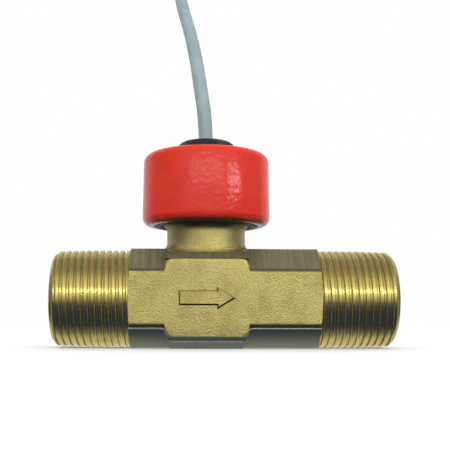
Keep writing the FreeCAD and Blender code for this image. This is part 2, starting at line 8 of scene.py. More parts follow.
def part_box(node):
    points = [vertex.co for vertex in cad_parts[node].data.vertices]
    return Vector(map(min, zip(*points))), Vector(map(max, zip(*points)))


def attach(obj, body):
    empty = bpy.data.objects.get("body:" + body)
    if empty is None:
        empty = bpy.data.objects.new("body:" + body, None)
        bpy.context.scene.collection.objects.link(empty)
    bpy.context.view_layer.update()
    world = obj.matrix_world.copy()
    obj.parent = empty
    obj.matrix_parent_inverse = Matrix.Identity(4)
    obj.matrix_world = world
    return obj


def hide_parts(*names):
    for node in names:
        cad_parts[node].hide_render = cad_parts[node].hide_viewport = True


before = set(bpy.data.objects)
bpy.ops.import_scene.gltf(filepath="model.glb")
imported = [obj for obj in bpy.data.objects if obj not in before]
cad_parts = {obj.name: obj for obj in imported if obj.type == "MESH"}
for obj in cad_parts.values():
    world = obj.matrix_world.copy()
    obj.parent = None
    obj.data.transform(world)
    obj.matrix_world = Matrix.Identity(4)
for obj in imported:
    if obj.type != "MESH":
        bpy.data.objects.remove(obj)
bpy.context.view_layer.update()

# Body: one hot forging in brass, shot-blasted and left bare, with octagonal arms, a middle block and a
# sensor neck with a collar. It keeps the solid's shape, with the collar's underside raised a little. The
# threaded ends are cut off here, and turned further down.
MM = 0.001
WELD = 0.001 * MM
SMOOTH_BELOW = math.radians(50)
body_low, body_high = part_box("body")
BODY_LENGTH = body_high.x
HALF_FLATS = body_high.y
THREADED_END = 26.0 * MM
ARM_END = BODY_LENGTH - THREADED_END
SENSOR_X = 52.0 * MM
NECK_RADIUS = 13.58 * MM
NECK_SKIN = 0.4 * MM
COLLAR_FILLET_Z = 22.5 * MM
COLLAR_BOTTOM_Z = 24.4 * MM
COLLAR_EDGE = 0.35 * MM
COLLAR_LIFT = 1.0 * MM
BLOCK_FOOT = 12.9 * MM
BLOCK_FOOT_HALF = 13.5 * MM
BLOCK_DRAFT = 0.3375
BRASS_PALE = (0.80, 0.69, 0.25, 1)
BRASS_DEEP = (0.58, 0.48, 0.15, 1)
# Painted shade: a dark brass for lines along the faces' edges, the flow arrow's sides and the top of the
# block's foot.
BRASS_PAINTED_SHADE = (0.07, 0.075, 0.055, 1)
# Painted shade and light on the slanting flats: dark above the axis, and below it dark at the top and lighter
# towards the bottom.
BRASS_UPPER_FLAT_SHADE = (0.185, 0.18, 0.118, 1)
BRASS_LOWER_FLAT_SHADE = (0.11, 0.13, 0.085, 1)
BRASS_LOWER_FLAT_LIGHT = (0.62, 0.61, 0.38, 1)
# Painted shade on the sides of the neck that face along the pipe.
BRASS_NECK_SIDE_SHADE = (0.30, 0.28, 0.20, 1)
# Painted shade: the block's foot in the dark tone of the lower flats.
BRASS_FOOT_SHADE = (0.21, 0.22, 0.155, 1)
# Painted light: the sides of the block's foot are painted paler.
BRASS_FOOT_SIDE_LIGHT = (0.21, 0.215, 0.16, 1)
# Painted shade under the cap.
BRASS_SHADED = (0.11, 0.105, 0.085, 1)
GRIT_SCALE = 2300
PIT_SCALE = 1600
STAIN_SCALE = 160
GRINDING_SCALE = 1100
GRINDING_STRETCH = (1.0, 0.05, 0.05)
BLASTED_RELIEF = 0.22 * MM
# Each zone of the finish is a pair of values: there is none of it at the first, and all of it at the second.
STAINED = (0.42, 0.68)
SPECKLED = (0.38, 0.58)
FACING_SIDEWAYS = (0.4, 0.7)
FACING_ASLANT = (0.45, 0.62)
SLANT_HEIGHT = (8.0 * MM, 9.0 * MM)
ABOVE_AXIS = (0.0, 1.0 * MM)
BELOW_AXIS = (1.0 * MM, -1.0 * MM)
TOWARDS_BOTTOM = (-10.5 * MM, -16.5 * MM)
NECK_FOOT_REACH = (16.3 * MM, 16.0 * MM)
NECK_FOOT_DEPTH = (14.6 * MM, 14.0 * MM)
NECK_WALL_Z = (16.2 * MM, 17.2 * MM)
UNDER_CAP_Z = (22.0 * MM, 24.6 * MM)
EDGE_TILT_START = (0.05, 0.30)
EDGE_TILT_END = (0.66, 0.50)
EDGE_HEIGHT = (10.2 * MM, 9.9 * MM)
FOOT_Z = (-BLOCK_FOOT, -BLOCK_FOOT - 0.3 * MM)
FOOT_HALF = (BLOCK_FOOT_HALF + 0.2 * MM, BLOCK_FOOT_HALF)
FOOT_LINE_Z = (-14.0 * MM, -13.6 * MM)
ARROW_FACING_DOWN = (-0.2, -0.5)
ARROW_FACING_INLET = (-0.3, -0.6)
ARROW_HEIGHT = (5.0 * MM, 4.5 * MM)
ARROW_REACH = (12.5 * MM, 12.0 * MM)


class Wire:
    """One socket of a finish or of the room. Arithmetic on it adds Math nodes, and node() any other node."""

    def __init__(self, tree, socket=None):
        self.tree = tree
        self.socket = socket

    def node(self, kind, settings, sockets, output=0):
        """Adds a node of any kind, and gives the wire of one of its outputs."""
        made = self.tree.nodes.new(kind)
        for name, value in settings.items():
            if name == "stops":
                ramp = made.color_ramp.elements
                for place, _ in value[1:-1]:
                    ramp.new(place)
                for stop, (place, colour) in zip(ramp, value):
                    stop.position = place
                    stop.color = colour
            else:
                setattr(made, name, value)
        for name, value in sockets.items():
            if isinstance(value, Wire):
                self.tree.links.new(value.socket, made.inputs[name])
            else:
                made.inputs[name].default_value = value
        return Wire(self.tree, made.outputs[output] if made.outputs else None)

    def other(self, output):
        """Another output of the same node."""
        return Wire(self.tree, self.socket.node.outputs[output])

    def math(self, operation, first, second=0.0):
        return self.node("ShaderNodeMath", {"operation": operation}, {0: first, 1: second})

    def __add__(self, value):
        return self.math("ADD", self, value)

    __radd__ = __add__

    def __sub__(self, value):
        return self.math("SUBTRACT", self, value)

    def __rsub__(self, value):
        return self.math("SUBTRACT", value, self)

    def __mul__(self, value):
        return self.math("MULTIPLY", self, value)

    __rmul__ = __mul__

    def __pow__(self, value):
        return self.math("POWER", self, value)

    def __abs__(self):
        return self.math("ABSOLUTE", self)

    def at_most(self, limit):
        return self.math("MINIMUM", self, limit)

    def at_least(self, limit):
        return self.math("MAXIMUM", self, limit)

    def step(self, none, full):
        """Goes smoothly from 0 at the first value to 1 at the second, which may be the lower one."""
        ends = {"Value": self, "From Min": none, "From Max": full}
        return self.node("ShaderNodeMapRange", {"interpolation_type": "SMOOTHSTEP"}, ends)

    def axes(self):
        """The x, y and z parts of this vector."""
        x = self.node("ShaderNodeSeparateXYZ", {}, {"Vector": self})
        return x, x.other("Y"), x.other("Z")

    def stretched(self, scale):
        """This vector times a scale on each axis: a pattern on it grows long where the scale is small."""
        return self.node("ShaderNodeMapping", {}, {"Vector": self, "Scale": scale})

    def noise(self, scale, detail=3.0, roughness=0.55):
        """Noise on this vector, with features of about 1/scale metres."""
        sizes = {"Vector": self, "Scale": scale, "Detail": detail, "Roughness": roughness}
        return self.node("ShaderNodeTexNoise", {}, sizes, "Fac")

    def mix(self, first, second):
        """Goes from the first colour to the second, sockets 6 and 7, as this value goes from 0 to 1."""
        return self.node("ShaderNodeMix", {"data_type": "RGBA"}, {0: self, 6: first, 7: second}, 2)

    def bump(self, depth, strength):
        """Surface normal for this height, where 1 stands that many metres high."""
        return self.node("ShaderNodeBump", {}, {"Height": self, "Distance": depth, "Strength": strength})

    def surface(self, sockets):
        """Ends a finish in its shader."""
        shader = self.node("ShaderNodeBsdfPrincipled", {}, sockets)
        self.node("ShaderNodeOutputMaterial", {}, {"Surface": shader})


def new_finish(name):
    """An empty material, and the wire of its Object coordinates."""
    material = bpy.data.materials.new(name)
    material.use_nodes = True
    material.node_tree.nodes.clear()
    return material, Wire(material.node_tree).node("ShaderNodeTexCoord", {}, {}, "Object")


def blasted_brass():
    """Blasted skin on the faces, ground flats with cross marks on the slanting sides, and painted shade and
    light.
    """
    material, place = new_finish("blasted_brass")
    x, y, z = place.axes()
    facing_x, _, facing_z = place.other("Normal").axes()
    from_middle = abs(x - SENSOR_X)
    depth = abs(y)
    height = abs(z)
    tilt = abs(facing_z)
    sideways = abs(facing_x).step(*FACING_SIDEWAYS)
    underneath = z.step(*BELOW_AXIS)

    # The zones: slanting flats, neck, edges of the arms' faces, foot of the block, sides of the flow arrow.
    from_neck = (from_middle ** 2 + depth ** 2) ** 0.5
    neck_foot = from_neck.step(*NECK_FOOT_REACH) * depth.step(*NECK_FOOT_DEPTH) * z.step(*ABOVE_AXIS)
    slant = tilt.step(*FACING_ASLANT) * height.step(*SLANT_HEIGHT) * (1 - neck_foot)
    neck_wall = z.step(*NECK_WALL_Z)
    # Painted shade: the neck's top and the collar under the cap are painted dark, less on the sides, and made
    # rougher and less metallic.
    painted_cap_shade = z.step(*UNDER_CAP_Z) * (1 - 0.7 * sideways)
    # Painted shade: a dark line on the rounded upper and lower edges of the arms' faces, found by the slant
    # of their normals.
    painted_edge_shade = tilt.step(*EDGE_TILT_START) * tilt.step(*EDGE_TILT_END) * height.step(*EDGE_HEIGHT)
    block_side = from_middle + (height - BLOCK_FOOT) * BLOCK_DRAFT
    block_foot = z.step(*FOOT_Z) * block_side.step(*FOOT_HALF)
    # Painted light: the sides of the block's foot are painted paler and made less metallic, so that they
    # don't show dark.
    foot_side_painted_light = block_foot * sideways
    # Painted shade: the arrow's sides that face down, and less those that face the inlet, are painted dark.
    painted_arrow_shade = facing_z.step(*ARROW_FACING_DOWN) + 0.4 * facing_x.step(*ARROW_FACING_INLET)
    painted_arrow_shade = painted_arrow_shade * height.step(*ARROW_HEIGHT) * from_middle.step(*ARROW_REACH)

    # The marks of blasting, handling and grinding.
    grit = place.noise(GRIT_SCALE, detail=4.0, roughness=0.6)
    pits = place.node("ShaderNodeTexVoronoi", {}, {"Vector": place, "Scale": PIT_SCALE}, "Distance")
    speckle = grit.step(*SPECKLED)
    stain = place.noise(STAIN_SCALE, detail=4.0, roughness=0.6).step(*STAINED)
    grinding = place.stretched(GRINDING_STRETCH).noise(GRINDING_SCALE)
    relief = (grit + pits * 0.5) * (1 - 0.6 * slant) + grinding * slant * 0.9

    # The colour: the skin of the faces, then painted shade and light on flats, neck, edges, arrow, foot and
    # under the cap.
    # Painted light: the neck wall is painted paler, with half as much of the deep tone.
    colour = ((stain * 0.4 + (1 - speckle) * 0.6) * (1 - 0.5 * neck_wall)).mix(BRASS_PALE, BRASS_DEEP)
    # The flats keep their grinding marks, but their dark tone is painted shade, and their lightening towards
    # the bottom is painted light.
    flank = underneath.mix(BRASS_UPPER_FLAT_SHADE, z.step(*TOWARDS_BOTTOM).mix(BRASS_LOWER_FLAT_SHADE, BRASS_LOWER_FLAT_LIGHT))
    colour = (slant * (0.52 + 0.66 * grinding + 0.2 * underneath)).mix(colour, flank)
    # Painted shade: the neck's sides are painted darker.
    colour = (sideways * neck_wall * 0.55).mix(colour, BRASS_NECK_SIDE_SHADE)
    # Painted shade along the edges of the faces and on the arrow's sides.
    colour = (painted_edge_shade * 0.85 + painted_arrow_shade).mix(colour, BRASS_PAINTED_SHADE)
    # The block's foot is painted in that dark tone, with a darker painted shadow line at its top, under the
    # face.
    colour = block_foot.mix(colour, z.step(*FOOT_LINE_Z).mix(BRASS_FOOT_SHADE, BRASS_PAINTED_SHADE))
    colour = foot_side_painted_light.mix(colour, BRASS_FOOT_SIDE_LIGHT)
    place.surface({
        "Base Color": painted_cap_shade.mix(colour, BRASS_SHADED),
        "Metallic": 1 - 0.9 * painted_cap_shade - 0.4 * slant * (1 - painted_cap_shade) - 0.85 * foot_side_painted_light,
        "Roughness": 0.40 + 0.10 * speckle + 0.06 * stain - 0.10 * slant + 0.2 * painted_cap_shade,
        "Normal": relief.bump(BLASTED_RELIEF, strength=0.6),
    })
    return material


def add_piece(name, shape, material):
    """Turns a bmesh into a piece of the meter, with its creases kept sharp."""
    for face in shape.faces:
        face.smooth = True
    for edge in shape.edges:
        edge.smooth = edge.calc_face_angle(0) < SMOOTH_BELOW
    mesh = bpy.data.meshes.new(name)
    shape.to_mesh(mesh)
    shape.free()
    mesh.materials.append(material)
    piece = bpy.data.objects.new(name, mesh)
    bpy.context.scene.collection.objects.link(piece)
    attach(piece, "meter")
    return piece


def from_sensor_axis(vert):
    """How far a vertex is from the upright axis of the sensor head."""
    return math.hypot(vert.co.x - SENSOR_X, vert.co.y)


def open_edges(shape, x):
    """The unclosed edges that lie across the pipe at x."""
    return [edge for edge in shape.edges
            if edge.is_boundary and all(abs(vert.co.x - x) < WELD for vert in edge.verts)]


def trim(shape, x, keep):
    """Cuts a shape across the pipe at x and keeps the side that keep points to."""
    everything = shape.verts[:] + shape.edges[:] + shape.faces[:]
    bmesh.ops.bisect_plane(shape, geom=everything, dist=WELD, plane_co=(x, 0, 0),
                           plane_no=(-keep, 0, 0), clear_outer=True)


forging = bmesh.new()
forging.from_mesh(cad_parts["body"].data)
bmesh.ops.remove_doubles(forging, verts=forging.verts, dist=WELD)
for vert in forging.verts:
    outside = from_sensor_axis(vert) > NECK_RADIUS - NECK_SKIN
    rise = (vert.co.z - COLLAR_FILLET_Z) / (COLLAR_BOTTOM_Z - COLLAR_FILLET_Z)
    if outside and rise > 0 and vert.co.z < COLLAR_BOTTOM_Z + COLLAR_EDGE:
        vert.co.z += COLLAR_LIFT * min(rise, 1)
trim(forging, THREADED_END, 1)
trim(forging, ARM_END, -1)
for arm_face in (THREADED_END, ARM_END):
    bmesh.ops.bridge_loops(forging, edges=open_edges(forging, arm_face))
body_brass = blasted_brass()
forged_body = add_piece("forged_body", forging, body_brass)
forged_body.modifiers.new("flat_faces", "WEIGHTED_NORMAL").keep_sharp = True
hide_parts("body")

# Neck fillet: the rounded root of the neck, forged in one with the body and blasted with it. It follows the
# flat tops of the arms and runs down onto the sloping top of the block, at the front and at the back.
NECK_SKIN_TOP = 22.3 * MM
ROOT_RADIUS = 2.5 * MM
ROOT_SUNK = 0.4 * MM
ROOT_STEPS = 10
SLOPE_DEPTH = 7.6 * MM
SLOPE_DROP = 3.85 * MM
SLOPE_START = HALF_FLATS - SLOPE_DEPTH
ROUND_STEPS = 144
BEVEL_STEPS = 8


def turned(profile, rounds=()):
    """Closed (r, z) profile spun about the sensor's axis, with rounds as ((r, z), radius) at its corners."""
    ring = bmesh.new()
    corners = [ring.verts.new((SENSOR_X + r, 0, z)) for r, z in profile]
    edges = [ring.edges.new((corners[i - 1], corners[i])) for i in range(len(corners))]
    bmesh.ops.spin(ring, geom=corners + edges, cent=(SENSOR_X, 0, 0), axis=(0, 0, 1), angle=math.tau,
                   steps=ROUND_STEPS, use_merge=True)
    for (r, z), radius in rounds:
        circle = [edge for edge in ring.edges
                  if all(abs(vert.co.z - z) < WELD for vert in edge.verts)
                  and all(abs(from_sensor_axis(vert) - r) < WELD for vert in edge.verts)]
        bmesh.ops.bevel(ring, geom=circle, offset=radius, affect="EDGES", segments=BEVEL_STEPS,
                        profile=0.5, material=-1)
    bmesh.ops.recalc_face_normals(ring, faces=ring.faces)
    return ring


def neck_root():
    """A turned fillet, bent down where the block's top slopes."""
    section = []
    for i in range(ROOT_STEPS + 1):
        angle = math.pi / 2 * i / ROOT_STEPS
        section.append((NECK_RADIUS + ROOT_RADIUS * (1 - math.cos(angle)),
                        HALF_FLATS + ROOT_RADIUS * (1 - math.sin(angle))))
    section += [
        (NECK_RADIUS + ROOT_RADIUS, HALF_FLATS - ROOT_SUNK),
        (NECK_RADIUS - ROOT_SUNK, HALF_FLATS - ROOT_SUNK),
        (NECK_RADIUS - ROOT_SUNK, NECK_SKIN_TOP),
        (NECK_RADIUS, NECK_SKIN_TOP),
    ]
    root = turned(section)
    for vert in root.verts:
        vert.co.z -= SLOPE_DROP / SLOPE_DEPTH * max(0, abs(vert.co.y) - SLOPE_START)
    return root


add_piece("neck_fillet", neck_root(), body_brass)

# Block shoulders: a chamfered step along the top of the block, at the front and at the back, forged in one
# with the body. It narrows upwards, as the block's drafted sides do.
SIDES = {"front": -1, "back": 1}
SHOULDER_CORNERS = [
    (16.7 * MM, 12.95 * MM, 13.95 * MM),
    (14.45 * MM, 15.2 * MM, 13.2 * MM),
    (11.0 * MM, 15.3 * MM, 13.2 * MM),
    (11.0 * MM, 12.95 * MM, 13.95 * MM),
]


def only(kind, parts):
    """Those of an operator's parts that are vertices, edges or faces."""
    return [part for part in parts if isinstance(part, kind)]


def block_shoulder(side):
    """One end of the step, from corners (y, z, half length), drawn out to its mirrored end."""
    shoulder = bmesh.new()
    corners = [shoulder.verts.new((SENSOR_X - half, side * y, z)) for y, z, half in SHOULDER_CORNERS]
    near_end = shoulder.faces.new(corners)
    drawn = bmesh.ops.extrude_face_region(shoulder, geom=[near_end], use_keep_orig=True)["geom"]
    for vert in only(bmesh.types.BMVert, drawn):
        vert.co.x = 2 * SENSOR_X - vert.co.x
    bmesh.ops.recalc_face_normals(shoulder, faces=shoulder.faces)
    return shoulder


for name, side in SIDES.items():
    add_piece(name + "_shoulder", block_shoulder(side), body_brass)

# Trim lines: a low ridge, left where the flash was trimmed off the forging and rubbed pale by handling. It
# runs along the lower edge of the arms and dips round the block's foot, at the front and at the back.
TRIM_LINE_WIDTH = 0.7 * MM
TRIM_LINE_START = (26.3, 15.75, -10.0)
TRIM_LINE_DIP = [
    (34.6, 15.75, -10.0),
    (37.5, 15.75, -10.0),
    (38.2, 15.65, -10.6),
    (38.55, 15.4, -12.0),
    (39.0, 14.9, -13.2),
    (39.6, 14.05, -14.15),
    (40.8, 13.85, -14.35),
    (43.5, 13.85, -14.35),
]
TRIM_LINE_MIDDLE = (52.0, 13.85, -14.35)
TRIM_LINE_END = (89.7, 15.75, -10.0)
RUBBED_PALE = (0.62, 0.62, 0.46, 1)
RUBBED_DEEP = (0.42, 0.44, 0.34, 1)
RUBBING_SCALE = 700
RUBBED_PATCHES = (0.3, 0.7)
RUBBED_RELIEF = 0.05 * MM


def rubbed_brass():
    """Bare brass that handling has rubbed pale."""
    material, place = new_finish("rubbed_brass")
    rubbing = place.noise(RUBBING_SCALE, roughness=0.6)
    place.surface({
        "Base Color": rubbing.step(*RUBBED_PATCHES).mix(RUBBED_PALE, RUBBED_DEEP),
        "Metallic": 1.0,
        "Roughness": 0.34 + 0.12 * rubbing,
        "Normal": rubbing.bump(RUBBED_RELIEF, strength=0.4),
    })
    return material


def laid_curve(name, route, diameter, material, slot):
    """A round piece of the meter along a smooth line, led by a route in millimetres."""
    line = bpy.data.curves.new(name, "CURVE")
    line.dimensions = "3D"
    line.bevel_depth = diameter / 2
    line.bevel_resolution = 5
    line.use_fill_caps = True
    line.resolution_u = 8
    line.materials.append(material)
    spline = line.splines.new("NURBS")
    spline.points.add(len(route) - 1)
    for point, (x, y, z) in zip(spline.points, route):
        point.co = (x * MM, y * MM, z * MM, 1)
    spline.order_u = 3
    spline.use_endpoint_u = True
    piece = bpy.data.objects.new(name, line)
    bpy.context.scene.collection.objects.link(piece)
    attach(piece, "meter")
    return piece


dip_back_up = [(2 * TRIM_LINE_MIDDLE[0] - x, y, z) for x, y, z in reversed(TRIM_LINE_DIP)]
trim_route = [TRIM_LINE_START, *TRIM_LINE_DIP, TRIM_LINE_MIDDLE, *dip_back_up, TRIM_LINE_END]
trim_brass = rubbed_brass()
for name, side in SIDES.items():
    side_route = [(x, side * y, z) for x, y, z in trim_route]
    laid_curve(name + "_trim_line", side_route, TRIM_LINE_WIDTH, trim_brass, "brass")

# Flow arrow: raised on the front of the block by the forging die, with steep drafted sides and crisp edges.
# It has the same blasted skin as the face that it stands on.
ARROW_TAIL_X = 42.7 * MM
ARROW_BARB_X = 55.2 * MM
ARROW_TIP_X = 61.6 * MM
ARROW_SHAFT_HALF = 2.5 * MM
ARROW_HEAD_HALF = 3.85 * MM
ARROW_SUNK = 0.15 * MM
ARROW_RELIEF = 0.75 * MM
ARROW_DRAFT = 0.55 * MM
arrow_outline = [
    (ARROW_TAIL_X, ARROW_SHAFT_HALF),
    (ARROW_TAIL_X, -ARROW_SHAFT_HALF),
    (ARROW_BARB_X, -ARROW_SHAFT_HALF),
    (ARROW_BARB_X, -ARROW_HEAD_HALF),
    (ARROW_TIP_X, 0),
    (ARROW_BARB_X, ARROW_HEAD_HALF),
    (ARROW_BARB_X, ARROW_SHAFT_HALF),
]
arrow = bmesh.new()
arrow_foot = arrow.faces.new([arrow.verts.new((x, ARROW_SUNK - HALF_FLATS, z)) for x, z in arrow_outline])
arrow_top = bmesh.ops.extrude_face_region(arrow, geom=[arrow_foot], use_keep_orig=True)["geom"]
bmesh.ops.translate(arrow, verts=only(bmesh.types.BMVert, arrow_top), vec=(0, -ARROW_SUNK, 0))
bmesh.ops.recalc_face_normals(arrow, faces=arrow.faces)
bmesh.ops.inset_region(arrow, faces=only(bmesh.types.BMFace, arrow_top), thickness=ARROW_DRAFT,
                       depth=ARROW_RELIEF, use_even_offset=True)
bmesh.ops.recalc_face_normals(arrow, faces=arrow.faces)
add_piece("flow_arrow", arrow, body_brass)

# Pipe threads: one-inch taper thread cut on both ends of the body, with rounded crests, at full depth up to
# the arms. The bore and its lead-in belong to the same turned end, which at the inlet also has the groove of
# the spring ring.
PITCH = 25.4 / 11 * MM
THREAD_DEPTH = 0.75 * MM
THREAD_FORM = [
    (-0.62 * MM, 0.10 * MM),
    (-0.38 * MM, 0.012 * MM),
    (0, 0),
    (0.38 * MM, 0.012 * MM),
    (0.62 * MM, 0.10 * MM),
    (0.86 * MM, THREAD_DEPTH),
    (1.45 * MM, THREAD_DEPTH),
]
GAUGE_RADIUS = 33.249 / 2 * MM
GAUGE_PLANE = 10.4 * MM
TAPER_PER_SIDE = 1 / 32
LARGEST_RADIUS = 16.7 * MM
CHAMFER_RADIUS = 14.8 * MM
TURN_STEPS = 96
MOUTH_RADIUS = 13.6 * MM
BORE_RADIUS = 12.8 * MM
BORE_LEAD_IN = 0.8 * MM
GROOVE_START = 24.0 * MM
GROOVE_END = 25.3 * MM
GROOVE_RADIUS = 13.6 * MM
BRASS_GOLD = (0.84, 0.67, 0.20, 1)
# Painted shade on the thread's flanks and in its roots, and the tone of handling marks.
BRASS_THREAD_SHADE_AND_HANDLING = (0.22, 0.22, 0.10, 1)
TURNING_SCALE = 11000
TURNING_STRETCH = (1.0, 0.04, 0.04)
TURNING_RELIEF = 0.02 * MM
HANDLING_SCALE = 240
HANDLED = (0.45, 0.72)
ROOT_ZONE = (0.5 * THREAD_DEPTH, 0.95 * THREAD_DEPTH)
FLANK_ZONE = (0.15 * THREAD_DEPTH, 0.5 * THREAD_DEPTH)


def turned_brass():
    """Bright turned brass with fine tool marks and handling marks, dull on the flanks, with painted shade on
    the flanks and in the roots.
    """
    material, place = new_finish("turned_brass")
    x, y, z = place.axes()
    from_end = x.at_most(BODY_LENGTH - x)
    crest = (GAUGE_RADIUS + (from_end - GAUGE_PLANE) * TAPER_PER_SIDE).at_most(LARGEST_RADIUS)
    below_crest = crest - (y ** 2 + z ** 2) ** 0.5
    # Painted shade: the thread's roots, and more its flanks, are painted dark, and the flanks are made
    # duller.
    root_painted_shade = below_crest.step(*ROOT_ZONE)
    flank_painted_shade = below_crest.step(*FLANK_ZONE) * (1 - root_painted_shade)
    turning = place.stretched(TURNING_STRETCH).noise(TURNING_SCALE, detail=2.0)
    handling = place.noise(HANDLING_SCALE, detail=4.0, roughness=0.62).step(*HANDLED)
    place.surface({
        "Base Color": (flank_painted_shade * 0.8 + root_painted_shade * 0.25 + handling * 0.22).mix(BRASS_GOLD, BRASS_THREAD_SHADE_AND_HANDLING),
        "Metallic": 1 - 0.7 * flank_painted_shade,
        "Roughness": 0.17 + 0.08 * turning + 0.10 * handling + 0.25 * flank_painted_shade,
        "Normal": turning.bump(TURNING_RELIEF, strength=0.4),
    })
    return material


def on_round(vert, x, radius):
    """Moves a vertex to x and to that radius round the pipe's axis."""
    share = radius / math.hypot(vert.co.y, vert.co.z)
    vert.co = (x, vert.co.y * share, vert.co.z * share)


def cut_thread():
    """A row of thread forms spun once round, moving on by a pitch, then trimmed, tapered and chamfered."""
    thread = bmesh.new()
    pitches = range(-2, math.ceil(THREADED_END / PITCH) + 2)
    row = [thread.verts.new((x + PITCH * i, 0, GAUGE_RADIUS - drop))
           for i in pitches for x, drop in THREAD_FORM]
    edges = [thread.edges.new(pair) for pair in zip(row, row[1:])]
    bmesh.ops.spin(thread, geom=row + edges, cent=(0, 0, 0), axis=(1, 0, 0), angle=math.tau,
                   dvec=(PITCH / TURN_STEPS, 0, 0), steps=TURN_STEPS)
    bmesh.ops.remove_doubles(thread, verts=thread.verts, dist=10 * WELD)
    trim(thread, 0, 1)
    trim(thread, THREADED_END, -1)
    for vert in thread.verts:
        crest = min(GAUGE_RADIUS + (vert.co.x - GAUGE_PLANE) * TAPER_PER_SIDE, LARGEST_RADIUS)
        cut = math.hypot(vert.co.y, vert.co.z) - GAUGE_RADIUS + crest
        on_round(vert, vert.co.x, min(cut, CHAMFER_RADIUS + vert.co.x))
    return thread


def turned_end(bore):
    """A threaded end with its end face and bore, where bore gives the (x, radius) steps inwards."""
    end = cut_thread()
    rim = open_edges(end, 0)
    for x, radius in bore:
        added = bmesh.ops.extrude_edge_only(end, edges=rim)["geom"]
        for vert in only(bmesh.types.BMVert, added):
            on_round(vert, x, radius)
        rim = [edge for edge in only(bmesh.types.BMEdge, added) if edge.is_boundary]
    bmesh.ops.bridge_loops(end, edges=open_edges(end, THREADED_END))
    bmesh.ops.recalc_face_normals(end, faces=end.faces)
    return end


mouth = [(0, MOUTH_RADIUS), (BORE_LEAD_IN, BORE_RADIUS)]
groove = [(GROOVE_START, BORE_RADIUS), (GROOVE_START, GROOVE_RADIUS),
          (GROOVE_END, GROOVE_RADIUS), (GROOVE_END, BORE_RADIUS)]
bore_end = [(THREADED_END, BORE_RADIUS)]
thread_brass = turned_brass()
inlet_end = turned_end(mouth + groove + bore_end)
add_piece("inlet_thread", inlet_end, thread_brass)
outlet_end = turned_end(mouth + bore_end)
bmesh.ops.rotate(outlet_end, verts=outlet_end.verts, cent=(0, 0, 0), matrix=Matrix.Rotation(math.pi, 3, "Z"))
bmesh.ops.translate(outlet_end, verts=outlet_end.verts, vec=(BODY_LENGTH, 0, 0))
add_piece("outlet_thread", outlet_end, thread_brass)

# Vane carriers: the flow straightener and the outlet support, moulded in white acetal and pushed into the
# bore from its two ends. Their solids are right as they are, so they only get the moulded finish.
ACETAL_WHITE = (0.74, 0.73, 0.68, 1)
ACETAL_SHADE = (0.62, 0.61, 0.55, 1)
CLOUD_SCALE = 130
CLOUDED = (0.35, 0.7)
PEEL_SCALE = 1400


def moulded(name, light, dark, roughness, peel):
    """Moulded plastic: faint flow clouds, slightly uneven gloss and a skin of fine peel."""
    material, place = new_finish(name)
    clouds = place.noise(CLOUD_SCALE).step(*CLOUDED)
    skin = place.noise(PEEL_SCALE, detail=2.0)
    place.surface({
        "Base Color": clouds.mix(light, dark),
        "Roughness": roughness + 0.1 * skin + 0.06 * clouds,
        "Normal": skin.bump(peel, strength=0.3),
    })
    return material


def coat(material, *names):
    """Gives CAD nodes their finish."""
    for name in names:
        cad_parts[name].material_slots[0].material = material


acetal = moulded("white_acetal", ACETAL_WHITE, ACETAL_SHADE, roughness=0.34, peel=0.02 * MM)
coat(acetal, "flow_straightener", "outlet_support")

# Bearings and spring rings: blind cups of red synthetic sapphire pressed into the carriers' hubs, and blued
# spring-steel rings that snap into the bore's grooves behind the carriers.
SAPPHIRE = (0.62, 0.05, 0.12, 1)
SAPPHIRE_DEEP = (0.40, 0.02, 0.07, 1)
STEEL_BLUED = (0.09, 0.10, 0.12, 1)
STEEL_BARE = (0.42, 0.42, 0.43, 1)
WEAR_SCALE = 420
WEAR_BLEND = 0.2
GRAIN_SCALE = 5200
GRAIN_RELIEF = 0.01 * MM


def bare_metal(name, main, worn, roughness, wear):
    """Plain metal with a fine grain and brighter worn patches, fewer as wear goes up from 0 to 1."""
    material, place = new_finish(name)
    patches = place.noise(WEAR_SCALE, detail=4.0, roughness=0.65)
    rubbed = patches.step(wear, wear + WEAR_BLEND)
    grain = place.noise(GRAIN_SCALE, detail=2.0)
    place.surface({
        "Base Color": rubbed.mix(main, worn),
        "Metallic": 1.0,
        "Roughness": roughness + 0.12 * grain - 0.08 * rubbed,
        "Normal": grain.bump(GRAIN_RELIEF, strength=0.3),
    })
    return material


sapphire = moulded("sapphire", SAPPHIRE, SAPPHIRE_DEEP, roughness=0.08, peel=0.002 * MM)
coat(sapphire, "inlet_bearing", "outlet_bearing")
blued_steel = bare_metal("blued_steel", STEEL_BLUED, STEEL_BARE, roughness=0.32, wear=0.55)
coat(blued_steel, "inlet_retaining_ring", "outlet_retaining_ring")

# Turbine wheel: a grey moulding with six twisted blades, a rod magnet in each blade tip and a hard-metal pin
# through its hub. The whole wheel turns on the pin between the two bearings.
BLADES = 6
WHEEL_GREY = (0.30, 0.31, 0.32, 1)
WHEEL_SHADE = (0.24, 0.25, 0.26, 1)
PIN_METAL = (0.55, 0.55, 0.56, 1)
PIN_WORN = (0.72, 0.72, 0.72, 1)
MAGNET_NICKEL = (0.60, 0.58, 0.54, 1)
MAGNET_WORN = (0.70, 0.69, 0.66, 1)
coat(moulded("grey_moulding", WHEEL_GREY, WHEEL_SHADE, roughness=0.38, peel=0.02 * MM), "rotor")
coat(bare_metal("hard_metal", PIN_METAL, PIN_WORN, roughness=0.14, wear=0.5), "rotor_shaft")
nickel_plate = bare_metal("nickel_plate", MAGNET_NICKEL, MAGNET_WORN, roughness=0.2, wear=0.5)
for i in range(BLADES):
    coat(nickel_plate, "rotor_magnet_%d" % (i + 1))

